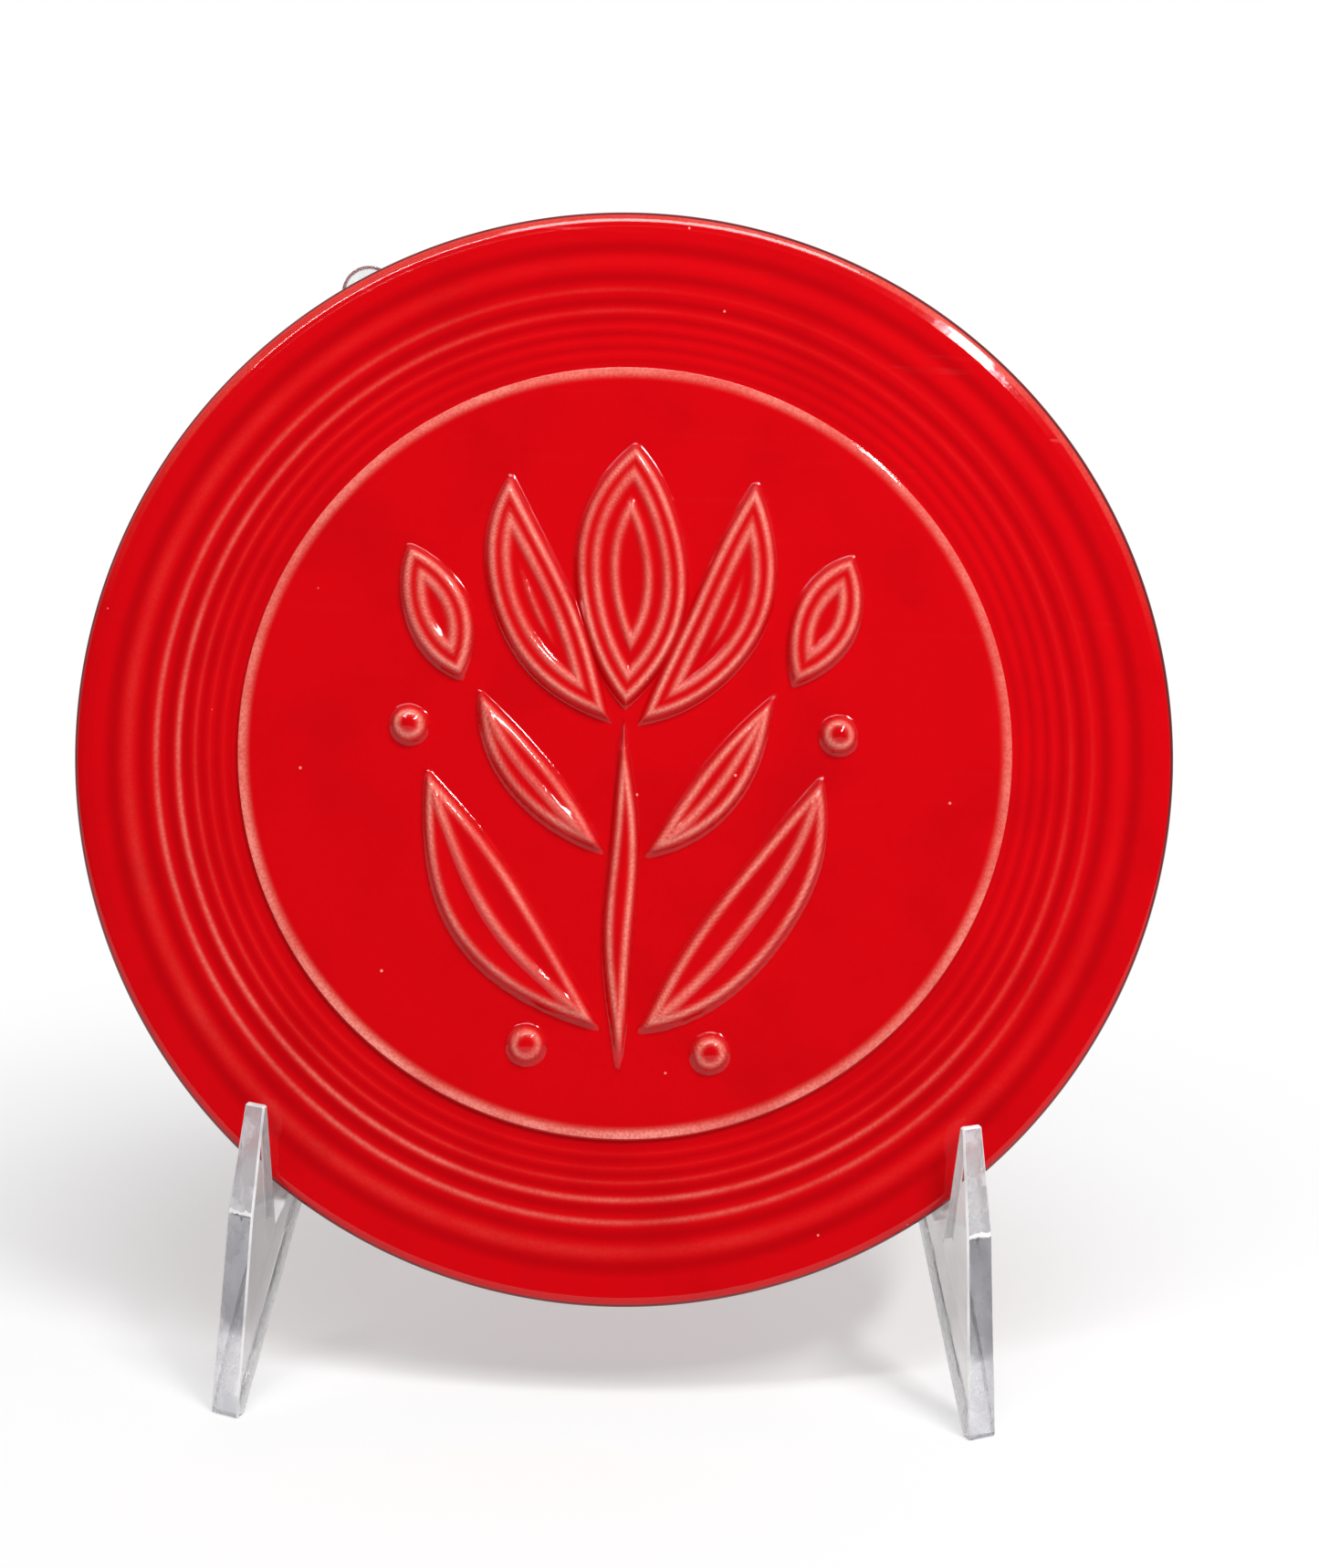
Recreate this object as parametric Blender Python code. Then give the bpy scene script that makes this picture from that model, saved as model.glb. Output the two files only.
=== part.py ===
"""A round glazed relief plaque on a folding clear acrylic easel.

The front faces -Y, +X is to the viewer's right and the easel stands on z = 0.
"""
import math

import bmesh
import bpy
from mathutils import Matrix, Vector

MM = 0.001

# Plaque: a turned disc, leaning back; its local +Z is the front and z = 0 its widest plane
PLAQUE_RADIUS = 76.0 * MM
PLAQUE_LEAN = math.radians(16.65)
PLAQUE_Y = -28.2 * MM
PLAQUE_Z = 87.5 * MM
BACK_DEPTH = 6.0 * MM
BACK_RADIUS = 65.8 * MM
BACK_ROUND = 0.8 * MM
FIELD_RADIUS = 53.7 * MM
FIELD_SHOULDER = 51.5 * MM
FIELD_CROWN = 2.7 * MM
FIELD_FALL = 0.4 * MM
RING_CRESTS = [r * MM for r in (55.4, 57.3, 59.3, 61.6, 64.8, 68.5)]
RING_FLOOR = 1.1 * MM
RING_RISE = 0.3 * MM
RIM_INNER = 73.4 * MM
RIM_ROUND = 1.5 * MM
RIM_FRONT = math.radians(65)
RIM_BACK = math.radians(-60)
TURN_STEPS = 96

# Relief on the centre field
RELIEF_RISE = 1.3 * MM
RELIEF_ROOT = 1.5 * MM
RELIEF_EDGE = 0.8 * MM
ARC_STEPS = 10

# Bumpers on the plaque's back: angle clockwise from the top, radius of the centre
BUMPER_RADIUS = 3.9 * MM
BUMPER_HEIGHT = 2.2 * MM
BUMPER_WALL = 0.4 * MM
BUMPER_GAP = 0.1 * MM
EDGE_BUMPER_ANGLE = math.radians(-31.0)
EDGE_BUMPER_RADIUS = 74.0 * MM
BACK_BUMPER_RADIUS = 58.0 * MM

# Easel: two legs on a vertical hinge behind the plaque; u runs from the hinge to the front
HINGE_Y = 53.2 * MM
SPREAD = math.radians(24.0)
FACE_GAP = 0.2 * MM
FOOT_THICK = 4.3 * MM
KINK_THICK = 3.9 * MM
HOOK_THICK = 2.95 * MM
EDGE_ROUND = 0.25 * MM

# Leg outline: the hooked front, the notch that takes the rim, the back support, hinge and arch
TOE_U = 120.3 * MM
KINK_U = 116.7 * MM
KINK_Z = 27.8 * MM
HOOK_U = 113.9 * MM
HOOK_Z = 42.2 * MM
HOOK_TIP = 0.9 * MM
NOTCH_U = 110.8 * MM
NOTCH_Z = 25.0 * MM
SEAT_RUN = 13.0 * MM
SEAT_SLOPE = math.radians(40)
SUPPORT_STEP = 3.0 * MM
SUPPORT_TOP = 95.0 * MM
SUPPORT_GAP = 0.3 * MM
SHOULDER_U = 62.0 * MM
REAR_U = 5.5 * MM
HEEL_U = 15.0 * MM
SOLE_U = 118.6 * MM
ARCH_REAR = (25.0 * MM, 35.0 * MM)
ARCH_FRONT = (93.5 * MM, 43.0 * MM)
ARCH_ROUND = 14.0 * MM

# Hinge: knuckles stacked from the lowest up, taken in turn by the left and the right leg
BARREL_RADIUS = 3.5 * MM
KNUCKLE_BASE = 8.0 * MM
KNUCKLE_HEIGHT = 9.8 * MM
KNUCKLE_PITCH = 10.1 * MM
KNUCKLES = 5
CLEARANCE = 0.35 * MM
STRIP_U = 0.3 * MM
STRIP_INSET = 0.9 * MM
BORE_RADIUS = 1.25 * MM
PIN_RADIUS = 1.2 * MM
PIN_CHAMFER = 0.3 * MM
HEAD_RADIUS = 2.6 * MM
HEAD_HEIGHT = 1.6 * MM
HEAD_WALL = 0.5 * MM
CAP_HEIGHT = 4.0 * MM
CAP_FLOOR = 1.0 * MM
CAP_ROUND = 0.8 * MM
CAP_GAP = 0.3 * MM
PRESS_GAP = 0.05 * MM

HINGE_TOP = KNUCKLE_BASE + (KNUCKLES - 1) * KNUCKLE_PITCH + KNUCKLE_HEIGHT


def clear_scene():
    for old in list(bpy.data.objects):
        bpy.data.objects.remove(old, do_unlink=True)


def material(name, colour, roughness, metallic=0.0, transmission=0.0):
    made = bpy.data.materials.new(name)
    made.use_nodes = True
    shader = made.node_tree.nodes["Principled BSDF"]
    shader.inputs["Base Color"].default_value = (*colour, 1.0)
    shader.inputs["Roughness"].default_value = roughness
    shader.inputs["Metallic"].default_value = metallic
    shader.inputs["Transmission Weight"].default_value = transmission
    return made


def add_object(name, bm, finish=None):
    """A scene object from a bmesh, shaded smooth with its corners kept sharp."""
    bmesh.ops.recalc_face_normals(bm, faces=bm.faces)
    mesh = bpy.data.meshes.new(name)
    bm.to_mesh(mesh)
    bm.free()
    mesh.shade_smooth()
    mesh.set_sharp_from_angle(angle=math.radians(35))
    made = bpy.data.objects.new(name, mesh)
    bpy.context.collection.objects.link(made)
    if finish:
        mesh.materials.append(finish)
    return made


def turned(profile, steps):
    """A bmesh of a closed (radius, height) profile turned round Z; radius 0 closes the ends."""
    bm = bmesh.new()
    points = [bm.verts.new((r, 0.0, z)) for r, z in profile]
    edges = [bm.edges.new(pair) for pair in zip(points, points[1:])]
    bmesh.ops.spin(bm, geom=points + edges, axis=(0, 0, 1), cent=(0, 0, 0),
                   angle=2 * math.pi, steps=steps, use_merge=True)
    bmesh.ops.remove_doubles(bm, verts=bm.verts, dist=0.001 * MM)
    return bm


def cutter(name, bm, holder):
    made = add_object(name, bm)
    made.parent = holder
    made.hide_render = True
    made.display_type = "WIRE"
    return made


def boolean(target, tool, operation):
    change = target.modifiers.new(tool.name, "BOOLEAN")
    change.operation = operation
    change.object = tool
    change.solver = "EXACT"


def arc(centre, radius, start, end, steps):
    """Points from start to end, both in radians, round a centre."""
    angles = [start + (end - start) * i / steps for i in range(steps + 1)]
    return [(centre[0] + radius * math.cos(a), centre[1] + radius * math.sin(a)) for a in angles]


def rim_arc():
    """The rim's half round, from its front edge to where the back cone begins."""
    return arc((PLAQUE_RADIUS - RIM_ROUND, 0.0), RIM_ROUND, RIM_FRONT, RIM_BACK, 6)


def plaque_profile():
    """The plaque's half section, from the front's centre round the rim to the back's centre."""
    crest = RING_FLOOR + RING_RISE
    shoulder = FIELD_CROWN - FIELD_FALL
    front = [(0.0, FIELD_CROWN), (FIELD_SHOULDER * 2 / 3, FIELD_CROWN - FIELD_FALL * 4 / 9)]
    front += arc((FIELD_SHOULDER, shoulder - FIELD_RADIUS + FIELD_SHOULDER), FIELD_RADIUS - FIELD_SHOULDER,
                 math.pi / 2, math.radians(35), 4)
    for here, before in zip(RING_CRESTS, [FIELD_RADIUS] + RING_CRESTS):
        front += [((here + before) / 2, RING_FLOOR), (here, crest)]
    front.append((RIM_INNER, crest))
    back = [(BACK_RADIUS, BACK_ROUND / 2 - BACK_DEPTH), (BACK_RADIUS - BACK_ROUND, -BACK_DEPTH)]
    return front + rim_arc() + back + [(0.0, -BACK_DEPTH)]


def petal(base, tip, right_bulge, left_bulge):
    """A leaf outline: one circular arc up its right side from base to tip, one down its left."""
    base, tip = Vector(base) * MM, Vector(tip) * MM
    chord = tip - base
    across = Vector((chord.y, -chord.x)).normalized()
    outline = []
    for start, end, side, bulge in ((base, tip, across, right_bulge), (tip, base, -across, left_bulge)):
        sagitta = bulge * MM
        radius = (chord.length ** 2 / 4 + sagitta ** 2) / (2 * sagitta)
        half = math.asin(chord.length / 2 / radius)
        centre = (start + end) / 2 + side * (sagitta - radius)
        for i in range(ARC_STEPS):
            turn = half * (2 * i / ARC_STEPS - 1)
            along = (end - start).normalized()
            outline.append(centre + side * radius * math.cos(turn) + along * radius * math.sin(turn))
    return outline


def berry(centre, radius):
    return [Vector(p) * MM for p in arc(centre, radius, 0.0, 2 * math.pi, 2 * ARC_STEPS)[:-1]]


def relief_outlines():
    """A tulip with a stem, leaves, buds and berries, the same on both sides of the middle."""
    outlines = [petal((0, 6), (0, 42), 7.5, 7.5), petal((0, -43), (0, 2), 1.9, 1.9)]
    for side in (1, -1):
        right_left = slice(None, None, side)
        outlines.append(petal((2.4 * side, 4), (17 * side, 37), *(9.0, 1.0)[right_left]))
        outlines.append(petal((3.2 * side, -38), (27 * side, -4), *(8.5, 1.5)[right_left]))
        outlines.append(petal((3.4 * side, -14), (20 * side, 7), *(4.6, 1.2)[right_left]))
        outlines.append(petal((23 * side, 9.5), (30.5 * side, 27), *(4.2, 4.2)[right_left]))
        outlines.append(berry((29.5 * side, 2.5), 2.3))
        outlines.append(berry((12.5 * side, -41), 2.3))
    return outlines


def relief(holder):
    """The relief's motifs as one tool, rooted in the field so that the plaque can take them in."""
    bm = bmesh.new()
    root = FIELD_CROWN - RELIEF_ROOT
    shoulder = FIELD_CROWN + RELIEF_RISE - RELIEF_EDGE
    for outline in relief_outlines():
        face = bm.faces.new([bm.verts.new((p.x, p.y, root)) for p in outline])
        raised = bmesh.ops.extrude_face_region(bm, geom=[face])["geom"]
        verts = [v for v in raised if isinstance(v, bmesh.types.BMVert)]
        bmesh.ops.translate(bm, verts=verts, vec=(0, 0, shoulder - root))
        top = [f for f in raised if isinstance(f, bmesh.types.BMFace)]
        bmesh.ops.inset_region(bm, faces=top, thickness=RELIEF_EDGE, depth=RELIEF_EDGE, use_even_offset=True)
    return cutter("relief_tool", bm, holder)


def plaque():
    glaze = material("red_glaze", (0.62, 0.0, 0.006), 0.12)
    made = add_object("plaque", turned(plaque_profile(), TURN_STEPS), glaze)
    boolean(made, relief(made), "UNION")
    made.location = (0, PLAQUE_Y, PLAQUE_Z)
    made.rotation_euler = (math.pi / 2 - PLAQUE_LEAN, 0, 0)
    return made


def bumper(name, holder, angle, radius, height, tilt, finish):
    """A clear dome stuck on the plaque's back, facing outwards by tilt."""
    crown = BUMPER_HEIGHT - BUMPER_WALL
    quarter = arc((0.0, 0.0), 1.0, math.pi / 2, 0.0, 5)
    dome = [(BUMPER_RADIUS * x, BUMPER_WALL + crown * y) for x, y in quarter]
    dome[0] = (0.0, BUMPER_HEIGHT)
    made = add_object(name, turned(dome + [(BUMPER_RADIUS, 0.0), (0.0, 0.0)], 24), finish)
    made.parent = holder
    spot = Matrix.Rotation(-angle, 4, "Z") @ Matrix.Translation((0, radius, -height))
    made.matrix_local = spot @ Matrix.Rotation(math.pi - tilt, 4, "X")


def bumpers(holder):
    """One bumper on the back cone, out at the rim, and three on the flat back."""
    clear = material("clear_bumper", (0.9, 0.9, 0.9), 0.1, transmission=0.9)
    rim_radius, rim_height = rim_arc()[-1]
    slope = math.atan2(rim_height - BACK_ROUND / 2 + BACK_DEPTH, rim_radius - BACK_RADIUS)
    drop = (rim_radius - EDGE_BUMPER_RADIUS) * math.tan(slope) - rim_height
    height = drop + BUMPER_GAP / math.cos(slope)
    bumper("edge_bumper", holder, EDGE_BUMPER_ANGLE, EDGE_BUMPER_RADIUS, height, -slope, clear)
    for i, name in enumerate(("right_bumper", "lower_bumper", "left_bumper"), start=1):
        angle = EDGE_BUMPER_ANGLE + i * math.pi / 2
        bumper(name, holder, angle, BACK_BUMPER_RADIUS, BACK_DEPTH + BUMPER_GAP, 0.0, clear)


def support_u(z):
    """How far in front of the hinge the plaque's back is at height z, less the gap."""
    back = (BACK_DEPTH + SUPPORT_GAP) / math.cos(PLAQUE_LEAN)
    return (HINGE_Y - PLAQUE_Y - back - (z - PLAQUE_Z) * math.tan(PLAQUE_LEAN)) / math.cos(SPREAD)


def leg_corners():
    """The leg's outline as (u, z, corner radius), anticlockwise from the front foot."""
    seat_z = NOTCH_Z + SEAT_RUN * math.tan(SEAT_SLOPE)
    support_z = seat_z + SUPPORT_STEP
    strip_low, strip_high = KNUCKLE_BASE + STRIP_INSET, HINGE_TOP - STRIP_INSET
    return [
        (TOE_U, 0.0, 0.0),
        (KINK_U, KINK_Z, 8 * MM),
        (HOOK_U, HOOK_Z, 0.0),
        (HOOK_U - HOOK_TIP, HOOK_Z, 0.0),
        (NOTCH_U, NOTCH_Z, 0.0),
        (NOTCH_U - SEAT_RUN, seat_z, 0.0),
        (support_u(support_z), support_z, 0.0),
        (support_u(SUPPORT_TOP), SUPPORT_TOP, 5 * MM),
        (SHOULDER_U, SUPPORT_TOP, 14 * MM),
        (REAR_U, HINGE_TOP + 4 * MM, 3 * MM),
        (REAR_U, strip_high, 0.0),
        (STRIP_U, strip_high, 0.0),
        (STRIP_U, strip_low, 0.0),
        (REAR_U, strip_low, 0.0),
        (REAR_U, 0.0, 0.0),
        (HEEL_U, 0.0, 0.0),
        (*ARCH_REAR, ARCH_ROUND),
        (*ARCH_FRONT, ARCH_ROUND),
        (SOLE_U, 0.0, 0.0),
    ]


def rounded(corners, steps=5):
    """An outline with each (u, z, radius) corner replaced by its fillet arc."""
    outline = []
    for i, (u, z, radius) in enumerate(corners):
        here = Vector((u, z))
        into = (here - Vector(corners[i - 1][:2])).normalized()
        out = (Vector(corners[(i + 1) % len(corners)][:2]) - here).normalized()
        turn = into.angle_signed(out, 0.0)
        if radius == 0.0 or abs(turn) < 0.01:
            outline.append(here)
            continue
        reach = radius * math.tan(abs(turn) / 2)
        inward = Vector((into.y, -into.x)) * math.copysign(1, turn)
        centre = here - into * reach + inward * radius
        spoke = -inward * radius
        for k in range(steps + 1):
            outline.append(centre + Matrix.Rotation(-turn * k / steps, 2) @ spoke)
    return outline


def leg_thickness(z):
    """The moulding's draft: thickest at the foot, thin from the hook's tip up."""
    if z < KINK_Z:
        return FOOT_THICK + (KINK_THICK - FOOT_THICK) * z / KINK_Z
    if z < HOOK_Z:
        return KINK_THICK + (HOOK_THICK - KINK_THICK) * (z - KINK_Z) / (HOOK_Z - KINK_Z)
    return HOOK_THICK


def leg_plate(name, side, finish):
    """The leg's flat plate, its inner face just off the hinge plane; side +1 is the right leg."""
    bm = bmesh.new()
    face = bm.faces.new([bm.verts.new((p.x, side * FACE_GAP, p.y)) for p in rounded(leg_corners())])
    raised = bmesh.ops.extrude_face_region(bm, geom=[face])["geom"]
    outer = {v for v in raised if isinstance(v, bmesh.types.BMVert)}
    bmesh.ops.translate(bm, verts=list(outer), vec=(0, side * FOOT_THICK, 0))
    for z in (KINK_Z, HOOK_Z):
        everything = bm.verts[:] + bm.edges[:] + bm.faces[:]
        bmesh.ops.bisect_plane(bm, geom=everything, dist=0.001 * MM, plane_co=(0, 0, z), plane_no=(0, 0, 1))
    for v in bm.verts:
        if abs(v.co.y) > FOOT_THICK / 2:
            v.co.y = side * (FACE_GAP + leg_thickness(v.co.z))
    made = add_object(name, bm, finish)
    edge = made.modifiers.new("edge", "BEVEL")
    edge.width = EDGE_ROUND
    edge.segments = 1
    edge.limit_method = "ANGLE"
    edge.angle_limit = math.radians(50)
    return made


def cylinder(radius, low, high, steps=32):
    return turned([(0.0, high), (radius, high), (radius, low), (0.0, low)], steps)


def leg(name, side, finish):
    """One leg: its plate, its own knuckles, room for the other leg's, and the bore."""
    made = leg_plate(name, side, finish)
    first_own = 0 if side < 0 else 1
    for i in range(1 - first_own, KNUCKLES, 2):
        low = KNUCKLE_BASE + i * KNUCKLE_PITCH
        room = cylinder(BARREL_RADIUS + CLEARANCE, low - CLEARANCE, low + KNUCKLE_HEIGHT + CLEARANCE)
        boolean(made, cutter(f"{name}_room_{i}", room, made), "DIFFERENCE")
    for i in range(first_own, KNUCKLES, 2):
        low = KNUCKLE_BASE + i * KNUCKLE_PITCH
        barrel = cylinder(BARREL_RADIUS, low, low + KNUCKLE_HEIGHT)
        boolean(made, cutter(f"{name}_knuckle_{i}", barrel, made), "UNION")
    bore = cylinder(BORE_RADIUS, 0.0, HINGE_TOP + KNUCKLE_PITCH)
    boolean(made, cutter(f"{name}_bore", bore, made), "DIFFERENCE")
    made.location = (0, HINGE_Y, 0)
    made.rotation_euler = (0, 0, side * SPREAD - math.pi / 2)
    return made


def hinge_pin():
    steel = material("pin_steel", (0.6, 0.6, 0.62), 0.3, metallic=1.0)
    head = HINGE_TOP + CAP_GAP
    low = KNUCKLE_BASE - CAP_GAP - CAP_HEIGHT + CAP_FLOOR + PRESS_GAP
    dome = HEAD_HEIGHT - HEAD_WALL
    profile = [(HEAD_RADIUS * x, head + HEAD_WALL + dome * y) for x, y in arc((0, 0), 1, math.pi / 2, 0, 4)]
    profile[0] = (0.0, head + HEAD_HEIGHT)
    profile += [(HEAD_RADIUS, head), (PIN_RADIUS, head), (PIN_RADIUS, low + PIN_CHAMFER)]
    profile += [(PIN_RADIUS - PIN_CHAMFER, low), (0.0, low)]
    made = add_object("hinge_pin", turned(profile, 32), steel)
    made.location = (0, HINGE_Y, 0)


def pin_cap():
    """A cup pressed on the pin's lower end, just below the lowest knuckle."""
    steel = material("cap_steel", (0.58, 0.58, 0.6), 0.35, metallic=1.0)
    top = KNUCKLE_BASE - CAP_GAP
    low = top - CAP_HEIGHT
    hole = PIN_RADIUS + PRESS_GAP
    profile = [(0.0, low + CAP_FLOOR), (hole, low + CAP_FLOOR), (hole, top), (HEAD_RADIUS, top)]
    profile += [(HEAD_RADIUS, low + CAP_ROUND), (HEAD_RADIUS - CAP_ROUND, low), (0.0, low)]
    made = add_object("pin_cap", turned(profile, 32), steel)
    made.location = (0, HINGE_Y, 0)


def build():
    clear_scene()
    bumpers(plaque())
    clear = material("clear_acrylic", (0.85, 0.86, 0.87), 0.15, transmission=0.9)
    leg("left_leg", -1, clear)
    leg("right_leg", 1, clear)
    hinge_pin()
    pin_cap()


build()
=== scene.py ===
"""A glazed relief plaque on its folding acrylic easel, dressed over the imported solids."""
import math

import bmesh
import bpy
import numpy as np
from mathutils import Matrix, Vector


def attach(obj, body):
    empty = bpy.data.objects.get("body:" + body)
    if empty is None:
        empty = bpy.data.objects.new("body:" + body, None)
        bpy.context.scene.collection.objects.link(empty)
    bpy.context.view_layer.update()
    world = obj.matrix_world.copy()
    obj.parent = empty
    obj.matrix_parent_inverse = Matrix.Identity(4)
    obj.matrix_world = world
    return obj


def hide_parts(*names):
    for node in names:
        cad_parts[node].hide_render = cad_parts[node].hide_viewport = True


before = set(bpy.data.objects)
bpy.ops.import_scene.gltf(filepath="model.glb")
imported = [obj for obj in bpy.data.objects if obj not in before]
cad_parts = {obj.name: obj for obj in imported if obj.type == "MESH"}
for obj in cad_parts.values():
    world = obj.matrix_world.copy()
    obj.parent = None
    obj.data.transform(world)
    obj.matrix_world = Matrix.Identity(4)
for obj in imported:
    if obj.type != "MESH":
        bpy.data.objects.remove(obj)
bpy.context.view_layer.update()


# The plaque's body: pressed earthenware, turned with five fine rings and a broad outer wave round
# a raised field. Its rim stands in the legs' notches, so it leans back.
# Lengths are in mm here and become metres in the mesh.
MM = 0.001
LEAN = math.radians(16.65)
PLAQUE_PLACE = (Matrix.Translation((0, -28.2 * MM, 87.5 * MM))
                @ Matrix.Rotation(math.radians(90) - LEAN, 4, "X"))
TURN_STEPS = 600
FIELD_EDGE = 53.4
RING_CRESTS = (55.25, 57.2, 59.15, 61.45, 64.45, 68.35)
RING_RISES = (0.025, 0.025, 0.035, 0.055, 0.06)
RING_STEP = 0.2
RIM_START = 73.2
RIM_CENTRE, RIM_DROP, RIM_ROUND = 74.44, 0.54, 1.56
BACK_DEPTH = 6.0
FOOT_RING = 64.6


def wave(start, end, steps):
    """Points from start up to end, level at both, as a finger leaves them in soft clay."""
    points = []
    for i in range(steps):
        t = i / steps
        points.append((start[0] + (end[0] - start[0]) * t,
                       start[1] + (end[1] - start[1]) * (1 - math.cos(math.pi * t)) / 2))
    return points


def ring_floor(r):
    """Height of the hollows between the rings, which climb towards the field."""
    return 1.3 + 0.1 * max(0.0, (64.0 - r) / 10) ** 2


def ring_section():
    turns = [(54.0, ring_floor(54.0))]
    for crest, following, rise in zip(RING_CRESTS, RING_CRESTS[1:], RING_RISES):
        hollow = (crest + following) / 2
        turns += [(crest, ring_floor(crest) + rise), (hollow, ring_floor(hollow))]
    turns += [(RING_CRESTS[-1], 1.36), (70.5, 1.29), (72.4, 1.325), (RIM_START, 1.32)]
    rings = []
    for start, end in zip(turns, turns[1:]):
        rings += wave(start, end, max(5, round((end[0] - start[0]) / RING_STEP)))
    return rings


def plaque_section():
    """The half section as (radius, height), from the front's centre round the rim to the back's."""
    field = wave((0.0, 2.4), (42.0, 2.1), 105) + wave((42.0, 2.1), (51.0, 2.3), 24)
    shoulder = [(51.0 + 0.15 * i, 2.3 - 0.0011 * i ** 2) for i in range(15)]
    step = [(53.16, 2.07), (53.21, 1.98), (53.23, 1.85), (53.24, 1.6), (53.26, 1.47)]
    step += [(53.33, 1.42), (53.45, 1.4)]
    rim = [(RIM_START, 1.32), (73.35, 1.311), (73.5, 1.283), (73.65, 1.248), (73.85, 1.213)]
    rim += [(74.05, 1.183), (74.25, 1.145), (74.5, 1.081), (74.75, 1.004)]
    rim += [(RIM_CENTRE + RIM_ROUND * math.cos(t), RIM_ROUND * math.sin(t) - RIM_DROP)
            for t in np.radians(range(69, 0, -6))]
    rim += [(75.2 + 0.8 * math.cos(t), -0.7 * math.sin(t) - RIM_DROP)
            for t in np.radians(range(0, 61, 10))]
    back = [(74.0, -1.88), (72.0, -2.8), (70.0, -3.71), (68.0, -4.62), (66.2, -5.43)]
    back += [(65.7, -5.68), (65.5, -5.8), (65.2, -5.92), (64.8, -BACK_DEPTH)]
    back += [(FOOT_RING - 0.2 * i, -BACK_DEPTH - 0.03 * (i % 4 == 0)) for i in range(28)]
    back += [(r, -BACK_DEPTH) for r in (58.0, 50.0, 40.0, 28.0, 14.0, 0.0)]
    return field + shoulder + step + ring_section() + rim + back


def turned(name, section, steps, place, finish):
    """A smooth closed object from a (radius, height) section in mm, turned round its own Z."""
    angles = np.arange(steps) * 2 * math.pi / steps
    rows = [np.column_stack((r * np.cos(angles), r * np.sin(angles), np.full(steps, z)))
            for r, z in section[1:-1]]
    ends = [(0.0, 0.0, section[0][1]), (0.0, 0.0, section[-1][1])]
    verts = np.vstack(rows + ends) * MM
    first, last = len(rows) * steps, len(rows) * steps + 1
    here = np.arange(steps)
    beside = (here + 1) % steps
    faces = []
    for k in range(len(rows) - 1):
        low, high = k * steps, (k + 1) * steps
        faces += np.column_stack((low + here, high + here, high + beside, low + beside)).tolist()
    faces += np.column_stack((np.full(steps, first), here, beside)).tolist()
    tail = (len(rows) - 1) * steps
    faces += np.column_stack((np.full(steps, last), tail + beside, tail + here)).tolist()
    mesh = bpy.data.meshes.new(name)
    mesh.from_pydata(verts.tolist(), [], faces)
    mesh.shade_smooth()
    mesh.materials.append(finish)
    piece = bpy.data.objects.new(name, mesh)
    bpy.context.scene.collection.objects.link(piece)
    piece.matrix_world = place
    return piece


# The relief: a tulip spray pressed with the body, so its edges are soft under the glaze.
# A leaf is the overlap of two circles, and the nearer circle gives the depth inside its edge.
RELIEF_RISE = 1.45
PETAL_LINES = (2.6, 5.2)


def leaf_circles(base, tip, right_bulge, left_bulge):
    base, tip = Vector(base), Vector(tip)
    chord = tip - base
    across = Vector((chord.y, -chord.x)).normalized()
    circles = []
    for side, bulge in ((across, right_bulge), (-across, left_bulge)):
        radius = (chord.length ** 2 / 4 + bulge ** 2) / (2 * bulge)
        circles.append(((base + tip) / 2 + side * (bulge - radius), radius))
    return circles


def spray():
    """Every motif as (kind, circles); the sides mirror each other."""
    motifs = [("petal", leaf_circles((0, 6), (0, 42), 7.5, 7.5)),
              ("stem", leaf_circles((0, -43), (0, 2), 1.9, 1.9))]
    for side in (1, -1):
        order = slice(None, None, side)
        motifs.append(("petal", leaf_circles((2.4 * side, 4), (17 * side, 37), *(9.0, 1.0)[order])))
        motifs.append(("leaf", leaf_circles((3.2 * side, -38), (27 * side, -4), *(8.5, 1.5)[order])))
        motifs.append(("leaf", leaf_circles((3.4 * side, -14), (20 * side, 7), *(4.6, 1.2)[order])))
        motifs.append(("petal", leaf_circles((23 * side, 9.5), (30.5 * side, 27), 4.2, 4.2)))
        motifs.append(("berry", [(Vector((29.5 * side, 2.5)), 2.3)]))
        motifs.append(("berry", [(Vector((12.5 * side, -41)), 2.3)]))
    return motifs


def eased(low, high, x):
    t = np.clip((x - low) / (high - low), 0.0, 1.0)
    return t * t * (3.0 - 2.0 * t)


def ridge(x, width):
    return np.exp(-(x / width) ** 2)


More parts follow.
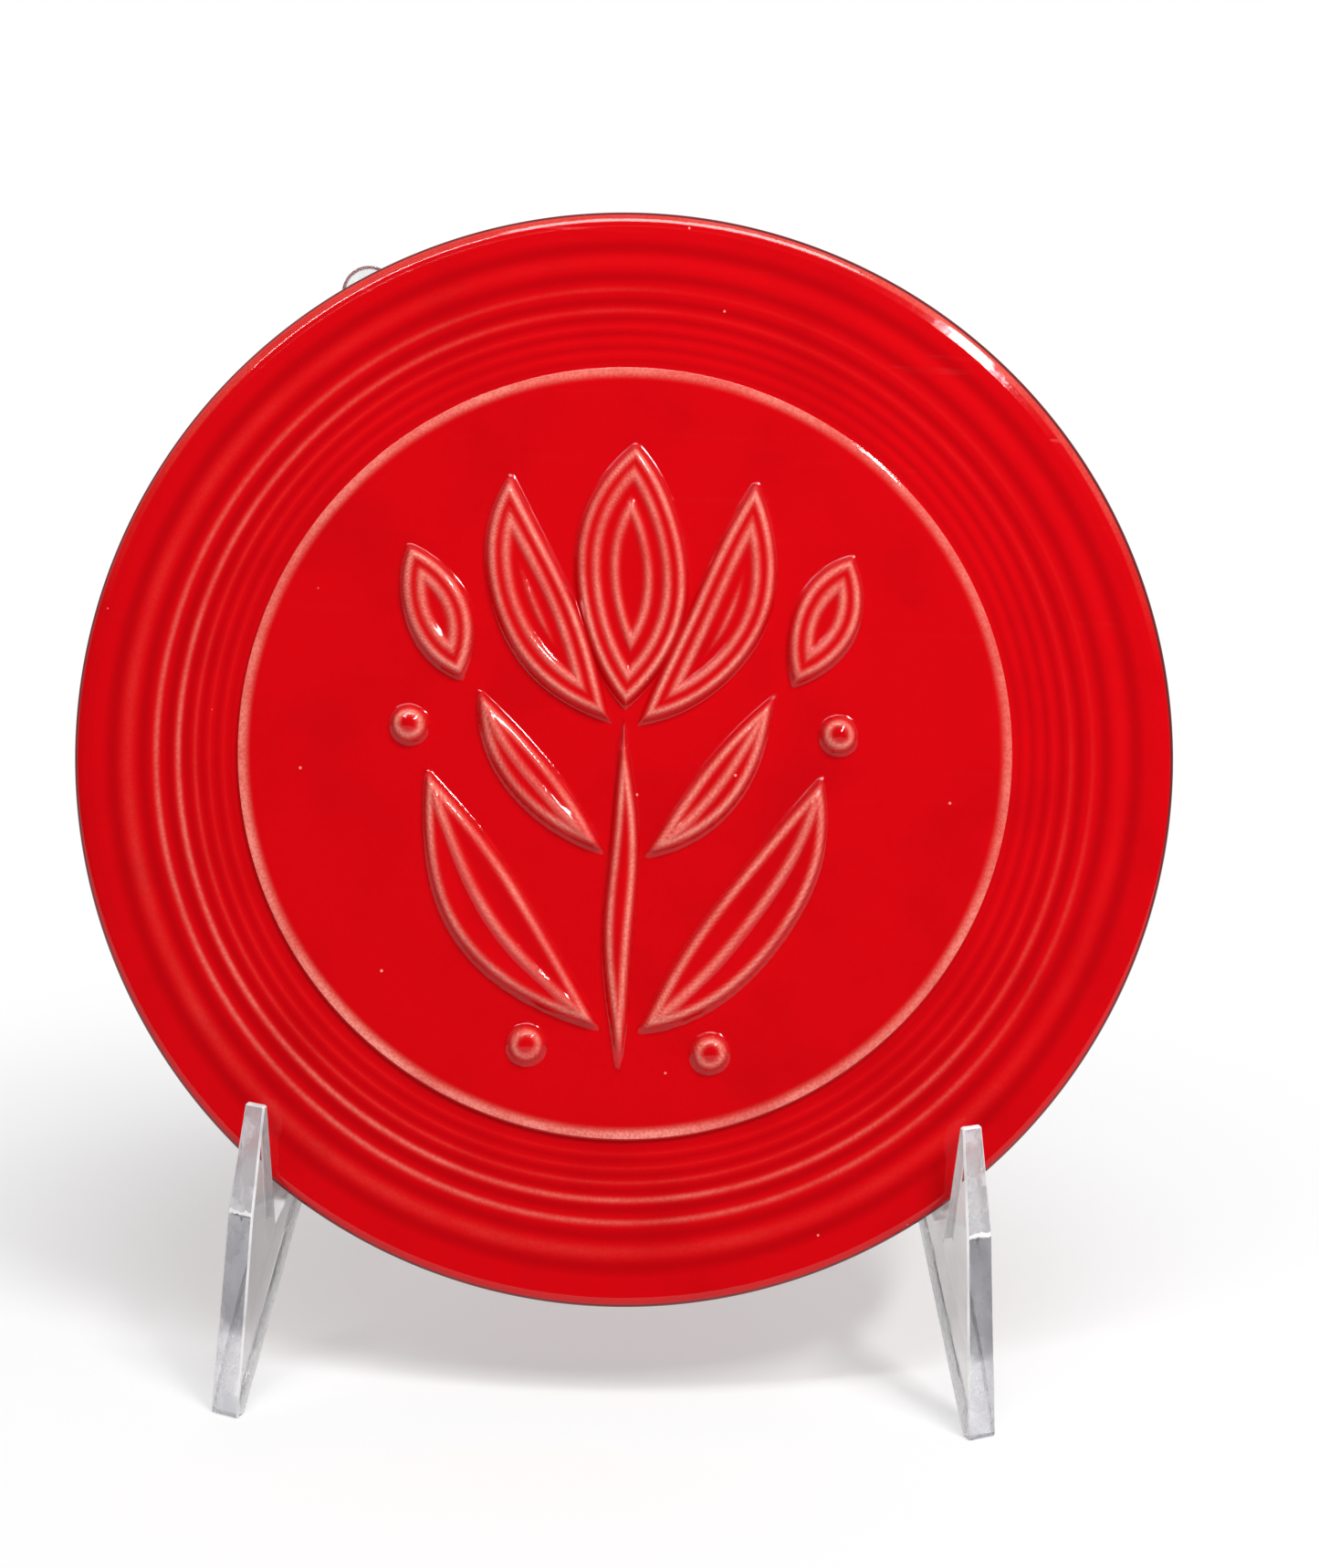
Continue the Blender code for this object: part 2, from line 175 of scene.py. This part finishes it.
def relief(x, y):
    """Height of the spray over the field, and how thin the glaze runs there, from 0 to 1."""
    x, y = x + 0.3 * np.sin(y / 4.7 + 1.0), y + 0.3 * np.sin(x / 5.3)
    height = np.zeros_like(x)
    thin = np.zeros_like(x)
    for kind, circles in spray():
        depths = [radius - np.hypot(x - c.x, y - c.y) for c, radius in circles]
        depth = np.minimum.reduce(depths)
        inside = eased(0.5, 1.6, depth)
        rise = RELIEF_RISE * eased(-0.6, 0.7, depth)
        edge = 0.95 * ridge(depth - 0.65, 0.36)
        if kind == "berry":
            rise += 0.5 * eased(0.3, 2.3, depth)
        elif kind == "stem":
            rise += 0.2 * eased(0.4, 1.9, depth)
        elif kind == "leaf":
            vein = depths[0] - depths[-1]
            rise += inside * (0.5 * ridge(vein, 1.3) - 0.25 * eased(1.0, 3.2, depth))
            edge = np.maximum(edge, 0.8 * inside * ridge(vein, 0.8))
        else:
            for line in PETAL_LINES:
                rise += inside * 0.42 * ridge(depth - line, 0.55)
                edge = np.maximum(edge, 0.75 * inside * ridge(depth - line, 0.42))
            rise -= 0.35 * eased(0.9, 3.0, depth)
        thin = np.where(rise > height, edge, thin)
        height = np.maximum(height, rise)
    return height, thin


# The glaze: one thick coat of clear bright red. It runs thin on every sharp edge, where the pale
# body shows through pink, pools darker in the hollows, and holds a few pinholes and hairlines.
# The maker wiped a ring of the back bare, for the kiln shelf. The rim's outermost edge carries
# painted shade in dark brown, and the upper rim a pale pink painted reflection.
GLAZE_RED = (0.7, 0.0012, 0.0045, 1.0)
GLAZE_DEEP = (0.45, 0.0003, 0.003, 1.0)
GLAZE_PINK = (0.97, 0.3, 0.235, 1.0)
BARE_CLAY = (0.72, 0.62, 0.5, 1.0)
# Painted shade: the dark brown for the rim's outermost edge, standing in for its far side in shadow.
RIM_SHADE_BROWN = (0.07, 0.012, 0.012, 1.0)


class Wiring:
    """A node tree being wired: each method adds its nodes and returns the last one's output."""

    def __init__(self, tree, place):
        self.tree = tree
        self.where = self.add("TexCoord").outputs[place]

    def add(self, kind):
        return self.tree.nodes.new("ShaderNode" + kind)

    def feed(self, socket, value):
        if isinstance(value, bpy.types.NodeSocket):
            self.tree.links.new(value, socket)
        else:
            socket.default_value = value

    def along(self, axis):
        node = self.add("SeparateXYZ")
        self.feed(node.inputs[0], self.where)
        return node.outputs[axis]

    def rays(self, kind):
        """1 for a ray of this kind and 0 for any other."""
        return self.add("LightPath").outputs["Is " + kind + " Ray"]

    def math(self, operation, a, b):
        node = self.add("Math")
        node.operation = operation
        self.feed(node.inputs[0], a)
        self.feed(node.inputs[1], b)
        return node.outputs["Value"]

    def band(self, value, low, high, start=0.0, end=1.0, curve="SMOOTHSTEP"):
        """Start at the low value, end at the high one, and a curve between them."""
        node = self.add("MapRange")
        node.interpolation_type = curve
        self.feed(node.inputs["Value"], value)
        self.feed(node.inputs["From Min"], low)
        self.feed(node.inputs["From Max"], high)
        self.feed(node.inputs["To Min"], start)
        self.feed(node.inputs["To Max"], end)
        return node.outputs["Result"]


class Finish(Wiring):
    """A material for one finish, wired into its Principled shader."""

    def __init__(self, name):
        self.material = bpy.data.materials.new(name)
        self.material.use_nodes = True
        super().__init__(self.material.node_tree, "Object")
        self.shader = self.tree.nodes["Principled BSDF"]

    def set(self, **sockets):
        for name, value in sockets.items():
            self.feed(self.shader.inputs[name.replace("_", " ")], value)

    def height(self, wobble, scale):
        """Height over the floor, pushed up and down by a noise as strong as wobble."""
        push = self.math("MULTIPLY", self.math("SUBTRACT", self.noise(scale, 4.0), 0.5), wobble)
        return self.math("ADD", self.along("Z"), push)

    def attribute(self, name):
        node = self.add("Attribute")
        node.attribute_name = name
        return node.outputs["Fac"]

    def noise(self, scale, detail=3.0, stretch=None, rough=0.55):
        node = self.add("TexNoise")
        self.feed(node.inputs["Vector"], self.stretched(stretch) if stretch else self.where)
        node.inputs["Scale"].default_value = scale
        node.inputs["Detail"].default_value = detail
        node.inputs["Roughness"].default_value = rough
        return node.outputs["Fac"]

    def stretched(self, stretch):
        node = self.add("Mapping")
        node.inputs["Scale"].default_value = stretch
        self.feed(node.inputs["Vector"], self.where)
        return node.outputs["Vector"]

    def dots(self, scale):
        node = self.add("TexVoronoi")
        self.feed(node.inputs["Vector"], self.where)
        node.inputs["Scale"].default_value = scale
        return node.outputs["Distance"]

    def blend(self, amount, under, over):
        node = self.add("Mix")
        node.data_type = "RGBA"
        self.feed(node.inputs["Factor"], amount)
        self.feed(node.inputs["A"], under)
        self.feed(node.inputs["B"], over)
        return node.outputs["Result"]

    def bump(self, height, strength, distance):
        node = self.add("Bump")
        node.inputs["Strength"].default_value = strength
        node.inputs["Distance"].default_value = distance
        self.feed(node.inputs["Height"], height)
        self.set(Normal=node.outputs["Normal"])


def red_glaze():
    glaze = Finish("red_glaze")
    speckle = glaze.band(glaze.noise(2600, 2.0), 0.36, 0.62)
    drift = glaze.band(glaze.noise(75, 3.0), 0.3, 0.65, 0.55, 1.05)
    # The pale pink is thin glaze, and on the upper rim a painted reflection.
    pale = glaze.math("MULTIPLY", glaze.attribute("thin"), drift)
    pale = glaze.math("MULTIPLY", pale, glaze.math("ADD", glaze.math("MULTIPLY", speckle, 0.35), 0.65))
    colour = glaze.blend(glaze.attribute("pool"), GLAZE_RED, GLAZE_DEEP)
    cloud = glaze.band(glaze.noise(60, 4.0), 0.45, 0.75, 0.0, 0.35)
    colour = glaze.blend(cloud, colour, GLAZE_DEEP)
    colour = glaze.blend(pale, colour, GLAZE_PINK)
    pinhole = glaze.band(glaze.dots(150), 0.036, 0.02)
    few = glaze.math("MULTIPLY", pinhole, glaze.band(glaze.noise(90, 0.0), 0.52, 0.54))
    colour = glaze.blend(few, colour, GLAZE_PINK)
    # Painted shade: the rim's outermost edge is blended to dark brown here, and below it also loses its
    # gloss.
    colour = glaze.blend(glaze.attribute("rim_shade"), colour, RIM_SHADE_BROWN)
    bare = glaze.attribute("bare")
    colour = glaze.blend(bare, colour, BARE_CLAY)
    hairline = glaze.band(glaze.noise(900, 1.0, (0.04, 1.0, 1.0)), 0.66, 0.72, 0.0, 0.1)
    wear = glaze.math("ADD", glaze.math("MULTIPLY", bare, 0.6), hairline)
    gloss = glaze.band(glaze.attribute("rim_shade"), 0.0, 0.9, 0.27, 0.03)
    glaze.set(Base_Color=colour, Roughness=glaze.math("ADD", wear, 0.085), IOR=1.5)
    glaze.set(Specular_IOR_Level=gloss)
    glaze.set(Coat_Weight=glaze.math("MULTIPLY", gloss, 0.5), Coat_Roughness=0.04)
    ripple = glaze.math("ADD", glaze.noise(160, 4.0, None, 0.6), glaze.math("MULTIPLY", few, -1.5))
    glaze.bump(ripple, 0.13, 0.4 * MM)
    return glaze.material


plaque = turned("glazed_plaque", plaque_section(), TURN_STEPS, PLAQUE_PLACE, red_glaze())
points = np.empty(len(plaque.data.vertices) * 3, np.float32)
plaque.data.vertices.foreach_get("co", points)
points = points.reshape(-1, 3)
flat_x, flat_y, level = (points / MM).T
radius = np.hypot(flat_x, flat_y)
rightward, upward = flat_x / np.maximum(radius, 1.0), flat_y / np.maximum(radius, 1.0)
lower_left = -(rightward + upward) / math.sqrt(2)
front = level > -0.4
in_field = front & (radius < FIELD_EDGE)
in_relief = in_field & (radius < 49)

# The relief rises from the field, and glaze that ran down fills the rim out on its lower half.
height, relief_thin = relief(flat_x, flat_y)
full_rim = np.sqrt(RIM_ROUND ** 2 - np.clip(radius - RIM_CENTRE, 0.0, RIM_ROUND) ** 2) - 0.24
fuller = eased(0.2, -0.7, upward) * eased(0.0, 0.6, level) * (full_rim - level)
at_rim = front & (radius > RIM_START)
points[:, 2] += np.where(in_relief, height, np.where(at_rim, fuller, 0.0)) * MM
plaque.data.vertices.foreach_set("co", points.ravel())

# Pale edges: the relief and the field's lip, where the glaze runs thin, each 0 for full glaze and 1 for
# none, and on the upper rim a pale pink band that is a painted reflection of the bright surroundings.
field_lip = eased(51.3, 52.7, radius) ** 1.4 * eased(53.245, 53.225, radius)
# Painted reflection: a pale pink band on the upper rim, stronger towards the right.
rim_sheen = eased(0.15, 0.8, upward) * (0.25 + 0.11 * rightward)
rim_sheen *= eased(74.2, 74.5, radius) * eased(75.5, 75.2, radius)
thin = np.where(in_relief, relief_thin, 0.0)
thin += np.where(in_field, field_lip * (0.8 + 0.15 * lower_left), 0.0)
thin = np.maximum(thin, np.where(front, rim_sheen, 0.0))

# Pools: round the relief, under the field's step and in the hollow outside each ring,
# as (radius, strength, width).
pool = np.where(front, 0.22, 0.3)
pool = np.maximum(pool, np.where(in_relief, 0.75 * ridge(height - 0.2, 0.14), 0.0))
for hollow, strength, width in ((53.8, 0.6, 0.25), (54.3, 0.5, 0.5), (56.2, 0.6, 0.5),
                                (58.2, 0.65, 0.5), (60.3, 0.7, 0.6), (62.8, 0.8, 0.8),
                                (66.3, 0.8, 1.0), (70.5, 0.8, 1.3)):
    pool = np.maximum(pool, np.where(front, strength * ridge(radius - hollow, width), 0.0))

# Each ring's crest has a line of thin glaze, steeper inside than out, which drained most at the
# lower left.
drained = np.clip(0.42 + 0.5 * lower_left, 0.03, 1.0)
CREST_PALE = (0.02, 0.03, 0.1, 0.6, 0.5, 0.08)
CREST_WIDTH = (0.25, 0.25, 0.27, 0.35, 0.37, 0.9)
for crest, pale, width in zip(RING_CRESTS, CREST_PALE, CREST_WIDTH):
    off = radius - crest
    line = np.where(off < 0, ridge(off, 0.75 * width), ridge(off, width))
    thin = np.maximum(thin, np.where(front, pale * drained * line, 0.0))
    pool *= 1.0 - np.where(front, 0.9 * line, 0.0)

# The rim's outer edge is darkened to brown as painted shade, reaching further in at the upper right, and
# the wiped ring's wavy borders.
rim_shade = 0.9 * eased(75.4, 75.65, radius - 0.25 * np.minimum(lower_left, 0.0))
turn = np.arctan2(flat_y, flat_x)
wiped = radius + 0.15 * np.sin(5 * turn) + 0.1 * np.sin(17 * turn)
bare = np.where(~front, eased(60.0, 60.4, wiped) * eased(65.4, 65.0, wiped), 0.0)

for name, values in (("thin", thin), ("pool", pool), ("bare", bare), ("rim_shade", rim_shade)):
    layer = plaque.data.attributes.new(name, "FLOAT", "POINT")
    layer.data.foreach_set("value", values.astype(np.float32))
plaque.data.update()
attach(plaque, "plaque")
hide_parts("plaque")


# The bumpers: four clear self-adhesive domes of soft plastic on the plaque's back, one of them
# set so far out that its edge shows past the rim at the upper left.
BUMPER_RADIUS, BUMPER_HEIGHT, BUMPER_WALL = 3.9, 2.2, 0.4
BUMPER_GAP = 0.1
BUMPER_REACH, EDGE_BUMPER_REACH = 58.0, 74.0
BUMPER_TURN = 31
UNDER_RIM, UNDER_RIM_DEPTH = 75.25, 1.3
BACK_SLOPE = math.atan2(4.3, 9.45)


def bumper_section():
    """From the crown down the dome, round a small lip, and back across the glued face."""
    section = [(0.0, BUMPER_HEIGHT)]
    for t in np.radians(range(84, 5, -6)):
        section.append((BUMPER_RADIUS * math.cos(t),
                        BUMPER_WALL + (BUMPER_HEIGHT - BUMPER_WALL) * math.sin(t)))
    section += [(BUMPER_RADIUS, BUMPER_WALL), (BUMPER_RADIUS - 0.02, 0.12), (BUMPER_RADIUS - 0.12, 0.02)]
    return section + [(BUMPER_RADIUS - 0.3, 0.0), (2.0, 0.0), (0.0, 0.0)]


def bumper_plastic():
    clear = Finish("clear_bumper")
    smear = clear.band(clear.noise(700, 3.0), 0.4, 0.75, 0.03, 0.16)
    cloud = clear.band(clear.noise(400, 2.0), 0.4, 0.7)
    tint = clear.blend(cloud, (0.97, 0.98, 0.98, 1.0), (0.9, 0.92, 0.93, 1.0))
    clear.set(Base_Color=tint, Roughness=smear, IOR=1.45, Transmission_Weight=0.9)
    clear.bump(clear.noise(1200, 2.0), 0.05, 0.1 * MM)
    return clear.material


soft_plastic = bumper_plastic()
edge_drop = UNDER_RIM_DEPTH + (UNDER_RIM - EDGE_BUMPER_REACH) * math.tan(BACK_SLOPE)
edge_drop += BUMPER_GAP / math.cos(BACK_SLOPE)
for i, node in enumerate(("edge_bumper", "right_bumper", "lower_bumper", "left_bumper")):
    reach, drop, tilt = BUMPER_REACH, BACK_DEPTH + BUMPER_GAP, 0.0
    if node == "edge_bumper":
        reach, drop, tilt = EDGE_BUMPER_REACH, edge_drop, -BACK_SLOPE
    round_by = Matrix.Rotation(math.radians(BUMPER_TURN - 90 * i), 4, "Z")
    spot = Matrix.Translation((0, reach * MM, -drop * MM)) @ Matrix.Rotation(math.pi - tilt, 4, "X")
    dome = turned(node + "_dome", bumper_section(), 64, PLAQUE_PLACE @ round_by @ spot, soft_plastic)
    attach(dome, "plaque")
    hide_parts(node)


# The easel's legs: two plates of clear acrylic with hooked fronts, cut from sheet and hinged at
# the back. The faces are rubbed from use, the sawn edges hazy, and the corners frosted white.
# The faces' grey tint is painted shade, and the front's light and dark bands are painted light and shade.
SPREAD = math.radians(24)
HINGE = Vector((0, 53.2 * MM, 0))
KNUCKLE_REACH = 6 * MM
NOTCH_REACH, NOTCH_Z = 97 * MM, 24 * MM
FRONT_REACH = 105 * MM
KINK_Z = 27.8 * MM
# Height below which the front's foot is painted paler, as painted light.
LIT_FOOT_Z = 11.5 * MM
CORNER_CUT = 0.08 * MM


def acrylic(name, clean, hazy, rough, frost, grain=0.08):
    """Clear plastic between two tints; rough and frost run from the clean spots to the worst."""
    clear = Finish(name)
    streak = clear.noise(260, 5.0, (1.0, 1.0, 0.2))
    haze = clear.noise(420, 4.0, (1.0, 1.0, 0.35))
    tint = clear.blend(clear.band(clear.noise(70, 4.0, (1.0, 1.0, 0.7)), 0.35, 0.7), clean, hazy)
    clear.set(Base_Color=tint, Roughness=clear.band(streak, 0.35, 0.7, *rough), IOR=1.49)
    clear.set(Transmission_Weight=clear.band(haze, 0.35, 0.65, 1.0 - frost[0], 1.0 - frost[1]))
    clear.bump(clear.noise(500, 4.0, (1.0, 1.0, 0.3)), grain, 0.15 * MM)
    return clear.material


def leg_front():
    """The narrow front, painted light and shade by height: a pale hook, a painted white highlight at the
    kink, painted grey shade below, a pale lower foot.
    """
    clear = Finish("acrylic_front")
    kink = clear.height(1.2 * MM, 900)
    hook = clear.band(kink, KINK_Z - 0.1 * MM, KINK_Z + 0.1 * MM)
    from_kink = clear.math("ABSOLUTE", clear.math("SUBTRACT", kink, KINK_Z), 0.0)
    kink_highlight = clear.band(from_kink, 0.45 * MM, 0.15 * MM)
    foot = clear.band(clear.height(9 * MM, 170), LIT_FOOT_Z + 1.5 * MM, LIT_FOOT_Z - 1.5 * MM)
    streak = clear.band(clear.noise(300, 5.0, (1.0, 1.0, 0.15)), 0.35, 0.65)
    cloud = clear.band(clear.noise(220, 4.0), 0.4, 0.7)
    # Painted light and shade by height: dark grey painted shade below the kink, a pale painted-light hook
    # and foot, and a white painted highlight along the kink.
    tint = clear.blend(streak, (0.25, 0.245, 0.27, 1.0), (0.15, 0.147, 0.168, 1.0))
    tint = clear.blend(hook, tint, clear.blend(cloud, (0.96, 0.95, 0.97, 1.0), (0.8, 0.81, 0.85, 1.0)))
    tint = clear.blend(foot, tint, clear.blend(cloud, (0.82, 0.82, 0.86, 1.0), (0.66, 0.66, 0.71, 1.0)))
    tint = clear.blend(kink_highlight, tint, (0.97, 0.96, 0.96, 1.0))
    pale = clear.math("MAXIMUM", hook, foot)
    frost = clear.math("MULTIPLY", pale, clear.band(cloud, 0.0, 1.0, 0.15, 0.6))
    frost = clear.math("MAXIMUM", clear.math("MAXIMUM", frost, kink_highlight), clear.math("MULTIPLY", streak, 0.12))
    clear.set(Base_Color=tint, Roughness=clear.band(frost, 0.0, 1.0, 0.03, 0.4), IOR=1.49)
    clear.set(Transmission_Weight=clear.math("SUBTRACT", 1.0, frost))
    clear.bump(clear.noise(500, 4.0, (1.0, 1.0, 0.3)), 0.08, 0.15 * MM)
    return clear.material


leg_finishes = {
    # Painted shade: the faces' grey tints stand in for the dim surroundings seen through the clear plates.
    "face": acrylic("acrylic_face", (0.8, 0.79, 0.795, 1.0), (0.62, 0.61, 0.615, 1.0),
                    rough=(0.01, 0.07), frost=(0.0, 0.06)),
    "front": leg_front(),
    "sawn": acrylic("acrylic_sawn", (0.99, 0.99, 0.99, 1.0), (0.86, 0.86, 0.87, 1.0),
                    rough=(0.05, 0.35), frost=(0.0, 0.4), grain=0.4),
    "notch": acrylic("acrylic_notch", (0.96, 0.95, 0.96, 1.0), (0.85, 0.84, 0.86, 1.0),
                     rough=(0.3, 0.5), frost=(0.5, 0.95), grain=0.2),
    "corner": acrylic("acrylic_corner", (0.97, 0.95, 0.95, 1.0), (0.9, 0.89, 0.9, 1.0),
                      rough=(0.3, 0.5), frost=(0.4, 0.95), grain=0.2),
}


def reach_of(face, along):
    """How far the face's middle is from the hinge, along the leg."""
    return (face.calc_center_median() - HINGE).dot(along)


def is_broad(face, across):
    """Whether the face is one of the plate's two broad sides."""
    return abs(face.normal.dot(across)) > 0.95


def leg_finish(face, across, along):
    """Which finish a face of the leg has, from where it is and the way it looks."""
    reach = reach_of(face, along)
    if is_broad(face, across) or reach < KNUCKLE_REACH:
        return "face"
    if abs(face.normal.dot(across)) > 0.25:
        return "corner"
    if face.normal.dot(along) > 0.9 and reach > FRONT_REACH:
        return "front"
    if face.normal.z > 0 and reach > NOTCH_REACH and face.calc_center_median().z > NOTCH_Z:
        return "notch"
    return "sawn"


def leg_plate(node, across, along):
    """The leg's solid with whole flat faces, its corners rounded and a finish on each face."""
    bm = bmesh.new()
    bm.from_mesh(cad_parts[node].data)
    bmesh.ops.remove_doubles(bm, verts=bm.verts, dist=0.001 * MM)
    bmesh.ops.dissolve_limit(bm, angle_limit=math.radians(0.5), verts=bm.verts, edges=bm.edges)
    corners = []
    for edge in bm.edges:
        reach = min((v.co - HINGE).dot(along) for v in edge.verts)
        if edge.is_manifold and reach > KNUCKLE_REACH and edge.calc_face_angle() > math.radians(30):
            corners.append(edge)
    bmesh.ops.bevel(bm, geom=corners, offset=CORNER_CUT, segments=2, profile=0.5, affect="EDGES",
                    clamp_overlap=True)
    order = list(leg_finishes)
    rounded = []
    for face in bm.faces:
        face.material_index = order.index(leg_finish(face, across, along))
        rounded.append(reach_of(face, along) < KNUCKLE_REACH or not is_broad(face, across))
    mesh = bpy.data.meshes.new(node + "_plate")
    bm.to_mesh(mesh)
    bm.free()
    mesh.set_sharp_from_angle(angle=math.radians(35))
    mesh.polygons.foreach_set("use_smooth", rounded)
    for finish in leg_finishes.values():
        mesh.materials.append(finish)
    return mesh


for node, side in (("left_leg", -1), ("right_leg", 1)):
    across = Vector((math.cos(SPREAD), side * math.sin(SPREAD), 0))
    along = Vector((side * math.sin(SPREAD), -math.cos(SPREAD), 0))
    leg = bpy.data.objects.new(node + "_plate", leg_plate(node, across, along))
    bpy.context.scene.collection.objects.link(leg)
    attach(leg, node)
    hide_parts(node)


# The hinge: a turned steel pin with a domed head, dropped through the legs' knuckles from above,
# and a pressed steel cap pushed on its lower end. Both keep their solids and get a drawn finish.
def pin_steel():
    steel = Finish("pin_steel")
    lines = steel.noise(900, 3.0, (1.0, 1.0, 0.1))
    tint = steel.blend(lines, (0.42, 0.42, 0.43, 1.0), (0.66, 0.66, 0.67, 1.0))
    steel.set(Base_Color=tint, Roughness=steel.band(lines, 0.3, 0.7, 0.22, 0.42), Metallic=1.0)
    steel.bump(lines, 0.08, 0.05 * MM)
    return steel.material


hinge_finish = pin_steel()
for node in ("hinge_pin", "pin_cap"):
    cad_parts[node].data.materials[0] = hinge_finish


# The studio: a pale paper floor that keeps the shadow and is white farther out, a white surround
# for the camera and for what the acrylic and steel show, and a room that is dim in front, so that
# the glaze stays a full red. A softbox, a lamp and a strip give the glints on the rim.
FLOOR_HALF = 3.0
FLOOR_GAP = 0.02 * MM
SHADOW_REACH, WHITE_REACH = 0.06, 0.18


def paper_floor():
    paper = Finish("paper")
    paper.set(Base_Color=(0.9, 0.9, 0.9, 1.0), Roughness=0.8, Specular_IOR_Level=0.1)
    seen = paper.math("MAXIMUM", paper.rays("Camera"), paper.rays("Glossy"))
    seen = paper.math("MAXIMUM", seen, paper.rays("Transmission"))
    out = paper.add("VectorMath")
    out.operation = "LENGTH"
    paper.feed(out.inputs[0], paper.where)
    faded = paper.band(out.outputs["Value"], SHADOW_REACH, WHITE_REACH, 0.4, 1.0)
    joined = paper.add("MixShader")
    paper.feed(joined.inputs["Fac"], paper.math("MULTIPLY", seen, faded))
    paper.feed(joined.inputs[1], paper.shader.outputs["BSDF"])
    paper.feed(joined.inputs[2], paper.add("Emission").outputs["Emission"])
    paper.feed(paper.tree.nodes["Material Output"].inputs["Surface"], joined.outputs["Shader"])
    return paper.material


floor_mesh = bpy.data.meshes.new("floor")
floor_corners = [(x * FLOOR_HALF, y * FLOOR_HALF, 0) for x, y in ((-1, -1), (1, -1), (1, 1), (-1, 1))]
floor_mesh.from_pydata(floor_corners, [], [(0, 1, 2, 3)])
floor_mesh.materials.append(paper_floor())
floor = bpy.data.objects.new("floor", floor_mesh)
bpy.context.scene.collection.objects.link(floor)
floor.location.z = -FLOOR_GAP

world = bpy.data.worlds.new("studio")
bpy.context.scene.world = world
world.use_nodes = True
room = Wiring(world.node_tree, "Generated")
towards_back = room.along("Y")
brightness = room.band(towards_back, -0.3, 0.3, 0.05, 0.6, "LINEAR")
brightness = room.math("MAXIMUM", brightness, room.rays("Camera"))
for kind, in_front in (("Glossy", 0.0), ("Transmission", 0.65)):
    shown = room.band(towards_back, -0.3, 0.3, in_front, 1.0, "LINEAR")
    brightness = room.math("MAXIMUM", brightness, room.math("MULTIPLY", room.rays(kind), shown))
surround = world.node_tree.nodes["Background"]
surround.inputs["Color"].default_value = (1, 1, 1, 1)
room.feed(surround.inputs["Strength"], brightness)


def lamp(name, place, size, power, roll=0.0):
    light = bpy.data.lights.new(name, "AREA")
    light.shape = "RECTANGLE"
    light.size, light.size_y = size
    light.energy = power
    made = bpy.data.objects.new(name, light)
    bpy.context.scene.collection.objects.link(made)
    aim = (Vector((0, -0.02, 0.08)) - Vector(place)).to_track_quat("-Z", "Y").to_matrix().to_4x4()
    made.matrix_world = Matrix.Translation(place) @ aim @ Matrix.Rotation(math.radians(roll), 4, "Z")


lamp("softbox_front", (0.075, -0.447, 1.1), (0.55, 0.165), 4.8)
lamp("lamp_right", (0.343, -0.411, 0.705), (0.0525, 0.3), 3.7, -60)
lamp("strip_left", (-0.314, -0.492, 0.858), (0.33, 0.0225), 1.2, 48)


# The camera: a phone held in front, a little above and tilted, fitted to the photograph. The
# focal length and the shift of the picture's middle are in the photograph's pixels.
AIM = Vector((0.7 * MM, -28.2 * MM, 87.05 * MM))
DISTANCE = 0.33
PITCH, TURN, ROLL = math.radians(12.0), math.radians(-0.52), math.radians(1.98)
PHOTO_HEIGHT, FOCAL_LENGTH = 1718, 2614
SHIFT_RIGHT, SHIFT_UP = 31.8, -34.2
forward = Vector((-math.sin(TURN) * math.cos(PITCH), math.cos(TURN) * math.cos(PITCH), -math.sin(PITCH)))
right = Vector((math.cos(TURN), math.sin(TURN), 0))
up = right.cross(forward)
axes = Matrix((math.cos(ROLL) * right + math.sin(ROLL) * up,
               math.cos(ROLL) * up - math.sin(ROLL) * right, -forward)).transposed()
lens = bpy.data.cameras.new("camera")
lens.lens = FOCAL_LENGTH * lens.sensor_width / PHOTO_HEIGHT
lens.shift_x = SHIFT_RIGHT / PHOTO_HEIGHT
lens.shift_y = SHIFT_UP / PHOTO_HEIGHT
camera = bpy.data.objects.new("camera", lens)
bpy.context.scene.collection.objects.link(camera)
camera.matrix_world = Matrix.Translation(AIM - DISTANCE * forward) @ axes.to_4x4()
bpy.context.scene.camera = camera
bpy.context.scene.view_settings.view_transform = "Standard"
